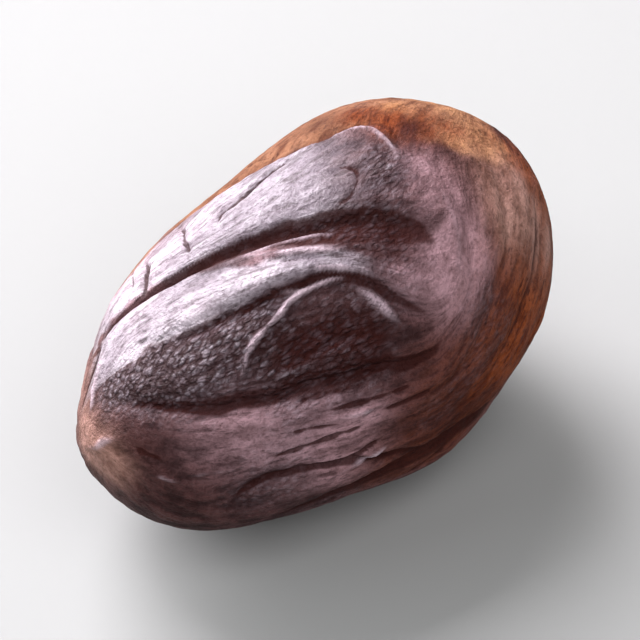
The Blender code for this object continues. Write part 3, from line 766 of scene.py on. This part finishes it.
class ShellNodes:
    # small helpers that add and join the nodes of one material

    def __init__(self, name):
        self.material = bpy.data.materials.new(name)
        self.material.use_nodes = True
        self.tree = self.material.node_tree
        self.surface = self.tree.nodes["Principled BSDF"]

    def add(self, kind, **settings):
        node = self.tree.nodes.new(kind)
        for name, value in settings.items():
            setattr(node, name, value)
        return node

    def put(self, socket, value):
        if hasattr(value, "is_output"):
            self.tree.links.new(value, socket)
        else:
            socket.default_value = value

    def value(self, name):
        return self.add("ShaderNodeAttribute", attribute_name=name).outputs["Fac"]

    def mix(self, share, first, second):
        node = self.add("ShaderNodeMix", data_type="RGBA")
        self.put(node.inputs[0], share)
        self.put(node.inputs[6], first)
        self.put(node.inputs[7], second)
        return node.outputs[2]

    def cover(self, colour, mask, share, top):
        return self.mix(self.times(mask, share), colour, top)

    def blend(self, share, first, second):
        node = self.add("ShaderNodeMix", data_type="FLOAT")
        self.put(node.inputs[0], share)
        self.put(node.inputs[2], first)
        self.put(node.inputs[3], second)
        return node.outputs[0]

    def math(self, operation, first, second=0.0, clamp=False):
        node = self.add("ShaderNodeMath", operation=operation, use_clamp=clamp)
        self.put(node.inputs[0], first)
        self.put(node.inputs[1], second)
        return node.outputs[0]

    def times(self, first, second):
        return self.math("MULTIPLY", first, second)

    def opposite(self, value):
        return self.math("SUBTRACT", 1.0, value)

    def step(self, value, low, high):
        node = self.add("ShaderNodeMapRange", interpolation_type="SMOOTHSTEP")
        self.put(node.inputs["Value"], value)
        self.put(node.inputs["From Min"], low)
        self.put(node.inputs["From Max"], high)
        return node.outputs["Result"]

    def noise(self, cell, detail, rough):
        # even noise with features of that many millimetres
        place = self.add("ShaderNodeTexCoord").outputs["Object"]
        node = self.add("ShaderNodeTexNoise", noise_dimensions="3D")
        self.put(node.inputs["Vector"], place)
        self.put(node.inputs["Scale"], 1000.0 / cell)
        self.put(node.inputs["Detail"], detail)
        self.put(node.inputs["Roughness"], rough)
        return node.outputs["Fac"]

    def grainSpot(self, across, along):
        # the shell's place in its own grain, counted in features of that size in millimetres
        node = self.add("ShaderNodeVectorMath", operation="DIVIDE")
        place = self.add("ShaderNodeAttribute", attribute_name="grainPlace")
        self.put(node.inputs[0], place.outputs["Vector"])
        self.put(node.inputs[1], (across, across, along))
        return node.outputs[0]

    def fibre(self, across, along):
        node = self.add("ShaderNodeTexNoise", noise_dimensions="3D")
        self.put(node.inputs["Vector"], self.grainSpot(across, along))
        self.put(node.inputs["Scale"], 1.0)
        self.put(node.inputs["Detail"], 3.0)
        self.put(node.inputs["Roughness"], 0.6)
        return node.outputs["Fac"]

    def grains(self, across, along, stray):
        # each grain's roundness, 1 at its middle, and its own random value; the grains are pushed out of line
        # a little, by that many of their own widths
        layout = self.add("ShaderNodeVectorMath", operation="DIVIDE")
        self.put(layout.inputs[0], self.add("ShaderNodeTexCoord").outputs["Object"])
        self.put(layout.inputs[1], (along / 1000, across / 1000, across / 1000))
        spot = layout.outputs[0]
        wander = self.add("ShaderNodeTexNoise", noise_dimensions="3D")
        self.put(wander.inputs["Vector"], spot)
        self.put(wander.inputs["Scale"], 0.9)
        self.put(wander.inputs["Detail"], 1.0)
        push = self.add("ShaderNodeVectorMath", operation="MULTIPLY_ADD")
        self.put(push.inputs[0], wander.outputs["Color"])
        self.put(push.inputs[1], (stray, stray, stray))
        self.put(push.inputs[2], spot)
        node = self.add("ShaderNodeTexVoronoi", voronoi_dimensions="3D", feature="F1")
        self.put(node.inputs["Vector"], push.outputs[0])
        self.put(node.inputs["Scale"], 1.0)
        own = self.add("ShaderNodeSeparateColor")
        self.put(own.inputs[0], node.outputs["Color"])
        return self.math("SUBTRACT", 1.0, node.outputs["Distance"], clamp=True), own.outputs[0]

    def bump(self, height, strength, distance, normal=None):
        node = self.add("ShaderNodeBump")
        self.put(node.inputs["Height"], height)
        self.put(node.inputs["Strength"], strength)
        self.put(node.inputs["Distance"], distance)
        if normal:
            self.put(node.inputs["Normal"], normal)
        return node.outputs["Normal"]


def makeShellMaterial():
    look = shellLook
    nodes = ShellNodes("nutmeg_shell")
    streak, furrow, veinAndRidgeHighlight = nodes.value("streak"), nodes.value("furrow"), nodes.value("veinAndRidgeHighlight")
    leather, waxAndHighlight = nodes.value("leather"), nodes.value("waxAndHighlight")
    tan, darkAndShade, flank = nodes.value("tan"), nodes.value("darkAndShade"), nodes.value("flank")
    lively = nodes.opposite(nodes.value("calm"))
    mottle, grit = nodes.noise(*markings["mottle"]), nodes.noise(*markings["grit"])
    fibre, hair = nodes.fibre(*markings["fibre"]), nodes.fibre(*markings["hair"])
    bead, beadOwn = nodes.grains(*markings["bead"])
    streaked = nodes.step(nodes.blend(0.55, nodes.blend(0.5, streak, fibre), mottle), 0.38, 0.62)
    # the painted shade of the furrows ends in a ragged edge
    furrow = nodes.step(nodes.math("ADD", furrow, nodes.math("SUBTRACT", mottle, 0.5)), 0.24, 0.86)

    colour = nodes.mix(streaked, look["darkBrown"], look["midBrown"])
    # painted sheen: the mauve colour stands partly for the soft reflection on the lit faces
    bloomAndSheenColour = nodes.mix(streaked, look["bloomAndSheenDark"], look["bloomAndSheen"])
    colour = nodes.mix(nodes.value("bloomAndSheen"), colour, bloomAndSheenColour)
    # painted highlight: the waxed bands get a pale lilac film colour that stands in for their bright
    # reflection
    highlightFilmColour = nodes.mix(nodes.value("bloomAndSheen"), look["highlightFilm"], look["highlightFilmLight"])
    highlightFilmColour = nodes.mix(streaked, look["highlightFilmDim"], highlightFilmColour)
    colour = nodes.cover(colour, waxAndHighlight, hides["highlightFilm"], highlightFilmColour)
    # leathery pebbles: a grey-violet tone that is partly painted reflection, bead tops lightened as painted
    # glints and gaps darkened as painted shade
    glintBeads = nodes.times(nodes.step(bead, 0.26, 0.78), nodes.step(beadOwn, -0.4, 0.9))
    glintBeads = nodes.times(glintBeads, nodes.blend(nodes.step(mottle, 0.36, 0.60), 0.35, 1.0))
    glintBeads = nodes.times(leather, glintBeads)
    shadedGaps = nodes.math("SUBTRACT", leather, glintBeads)
    colour = nodes.cover(colour, leather, hides["leather"], look["highlightFilmDark"])
    colour = nodes.cover(colour, glintBeads, hides["glintBeads"], look["highlightFilm"])
    colour = nodes.cover(colour, shadedGaps, hides["shadedGaps"], look["darkBrown"])
    threads = nodes.opposite(nodes.step(fibre, 0.36, 0.46))
    threads = nodes.times(nodes.times(threads, hides["threads"]), lively)
    colour = nodes.mix(threads, colour, look["darkBrown"])
    swath = nodes.blend(nodes.blend(lively, 1.0, 0.4), nodes.fibre(*markings["swath"]), mottle)
    tanColour = nodes.mix(nodes.step(swath, 0.38, 0.58), look["tanDark"], look["tan"])
    strawShare = nodes.blend(nodes.step(swath, 0.42, 0.60), 0.35, 1.0)
    strawShare = nodes.times(nodes.value("straw"), strawShare)
    tanColour = nodes.mix(strawShare, tanColour, look["straw"])
    colour = nodes.mix(nodes.step(tan, 0.25, 0.80), colour, tanColour)
    fibred = nodes.step(nodes.blend(0.4, fibre, hair), 0.40, 0.60)
    # red-brown flank, partly painted warm bounce light
    flankColour = nodes.mix(fibred, look["flankDark"], look["flankBrown"])
    colour = nodes.mix(flank, colour, flankColour)
    colour = nodes.mix(nodes.value("pale"), colour, nodes.mix(streaked, look["paleDark"], look["pale"]))
    # painted shade in the furrows and creases
    colour = nodes.cover(colour, furrow, hides["furrow"], look["furrowBrown"])
    # painted shade, with the cap's dark blotches
    colour = nodes.cover(colour, darkAndShade, hides["darkAndShade"], look["furrowBrown"])
    colour = nodes.cover(colour, glintBeads, hides["darkBeads"], look["highlightFilmDark"])
    # pale veins, and painted highlight on the ridge tops
    colour = nodes.cover(colour, veinAndRidgeHighlight, hides["veinAndRidgeHighlight"], look["paleVeinAndHighlight"])
    cracks = nodes.opposite(nodes.step(hair, 0.30, 0.44))
    cracks = nodes.times(nodes.times(cracks, hides["cracks"]), lively)
    colour = nodes.mix(cracks, colour, look["darkBrown"])
    pits = nodes.opposite(nodes.step(grit, 0.34, 0.52))
    colour = nodes.cover(colour, pits, hides["pits"], look["darkBrown"])
    nodes.put(nodes.surface.inputs["Base Color"], colour)
    nodes.put(nodes.surface.inputs["Roughness"], nodes.blend(tan, look["dullRough"], look["tanRough"]))
    nodes.surface.inputs["Specular IOR Level"].default_value = look["sheenLevel"]

    wax = nodes.times(waxAndHighlight, nodes.blend(waxCoat["streaked"], 1.0, streaked))
    wax = nodes.math("MAXIMUM", wax, nodes.times(glintBeads, waxCoat["glintBeads"]))
    wax = nodes.math("MAXIMUM", wax, nodes.times(veinAndRidgeHighlight, waxCoat["veinAndRidgeHighlight"]))
    wax = nodes.math("MAXIMUM", wax, nodes.blend(streaked, *waxCoat["least"]))
    dull = {"furrow": furrow, "darkAndShade": darkAndShade, "tan": tan, "flank": flank, "pits": pits}
    for name, share in waxCoat["lost"].items():
        wax = nodes.times(wax, nodes.opposite(nodes.times(dull[name], share)))
    nodes.put(nodes.surface.inputs["Coat Weight"], wax)
    nodes.surface.inputs["Coat Roughness"].default_value = look["waxRough"]
    nodes.surface.inputs["Coat IOR"].default_value = look["waxIndex"]

    normal = nodes.bump(nodes.times(bead, leather), *markingBumps["bead"])
    normal = nodes.bump(nodes.times(fibre, lively), *markingBumps["fibre"], normal)
    normal = nodes.bump(mottle, *markingBumps["mottle"], normal)
    normal = nodes.bump(grit, *markingBumps["grit"], normal)
    nodes.put(nodes.surface.inputs["Normal"], normal)
    nodes.put(nodes.surface.inputs["Coat Normal"], normal)
    return nodes.material


room = {
    "floorColour": (0.27, 0.282, 0.27, 1),
    "floorRough": 0.8,
    "floorHalf": 2.0,
    "worldColour": (1.0, 0.95, 0.98, 1),
    "worldStrength": 0.20,
}

# Lights, by where they stand from the nutmeg: degrees left of straight behind it as the camera sees it,
# height in degrees, distance and size in metres, strength in watts and colour
lights = {
    "backWindow": {
        "left": 33, "height": 42, "away": 0.45, "size": (0.30, 0.36), "watts": 6.0, "colour": (1, 0.94, 1)},
    "lowWindow": {
        "left": 44, "height": 15, "away": 0.50, "size": (0.26, 0.16), "watts": 2.4, "colour": (1, 0.94, 1)},
    "leftFill": {
        "left": 95, "height": 32, "away": 0.60, "size": (0.40, 0.46), "watts": 1.8,
        "colour": (0.94, 0.95, 1)},
    "frontFill": {
        "left": 202, "height": 55, "away": 0.60, "size": (0.60, 0.50), "watts": 3.4, "colour": (1, 0.96, 1)},
}

view = {
    "azimuth": -43.7,  # round from straight in front
    "elevation": 45.0,
    "away": 0.260,
    "squareSide": 0.0348,  # width of what the picture takes in, at the nutmeg
    "aimRight": 0.00030,  # the nutmeg stands this much left of the picture's middle
    "sensor": 36.0,
    "clip": (0.01, 10),
}


def direction(azimuth, elevation):
    a, e = math.radians(azimuth), math.radians(elevation)
    return Vector((math.sin(a) * math.cos(e), -math.cos(a) * math.cos(e), math.sin(e)))


def aim(thing, target):
    thing.rotation_mode = "QUATERNION"
    thing.rotation_quaternion = (target - thing.location).to_track_quat("-Z", "Y")


def makeCamera(target):
    data = bpy.data.cameras.new("camera")
    data.sensor_width = view["sensor"]
    data.lens = view["sensor"] * view["away"] / view["squareSide"]
    data.clip_start, data.clip_end = view["clip"]
    camera = bpy.data.objects.new("camera", data)
    target = target + direction(view["azimuth"] + 90, 0) * view["aimRight"]
    camera.location = target + direction(view["azimuth"], view["elevation"]) * view["away"]
    aim(camera, target)
    bpy.context.scene.collection.objects.link(camera)
    bpy.context.scene.camera = camera


def makeLights(target):
    for name, light in lights.items():
        data = bpy.data.lights.new(name, "AREA")
        data.shape = "RECTANGLE"
        data.size, data.size_y = light["size"]
        data.energy, data.color = light["watts"], light["colour"]
        lamp = bpy.data.objects.new(name, data)
        azimuth = view["azimuth"] + 180 + light["left"]
        lamp.location = target + direction(azimuth, light["height"]) * light["away"]
        aim(lamp, target)
        bpy.context.scene.collection.objects.link(lamp)
    world = bpy.data.worlds.new("room")
    world.use_nodes = True
    sky = world.node_tree.nodes["Background"]
    sky.inputs["Color"].default_value = room["worldColour"]
    sky.inputs["Strength"].default_value = room["worldStrength"]
    bpy.context.scene.world = world
    bpy.context.scene.view_settings.view_transform = "Standard"


def makeFloor():
    half = room["floorHalf"]
    mesh = bpy.data.meshes.new("floor")
    corners = [(-half, -half, 0), (half, -half, 0), (half, half, 0), (-half, half, 0)]
    mesh.from_pydata(corners, [], [(0, 1, 2, 3)])
    floor = bpy.data.objects.new("floor", mesh)
    material = bpy.data.materials.new("floor")
    material.use_nodes = True
    surface = material.node_tree.nodes["Principled BSDF"]
    surface.inputs["Base Color"].default_value = room["floorColour"]
    surface.inputs["Roughness"].default_value = room["floorRough"]
    mesh.materials.append(material)
    bpy.context.scene.collection.objects.link(floor)


middle = Vector(egg["liesAt"]) / 1000
shell = makeShell()
shell.data.materials.append(makeShellMaterial())
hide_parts("nutmeg")
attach(shell, "root")
print("shell made")

makeFloor()
makeLights(middle)
makeCamera(middle)
print("room made")
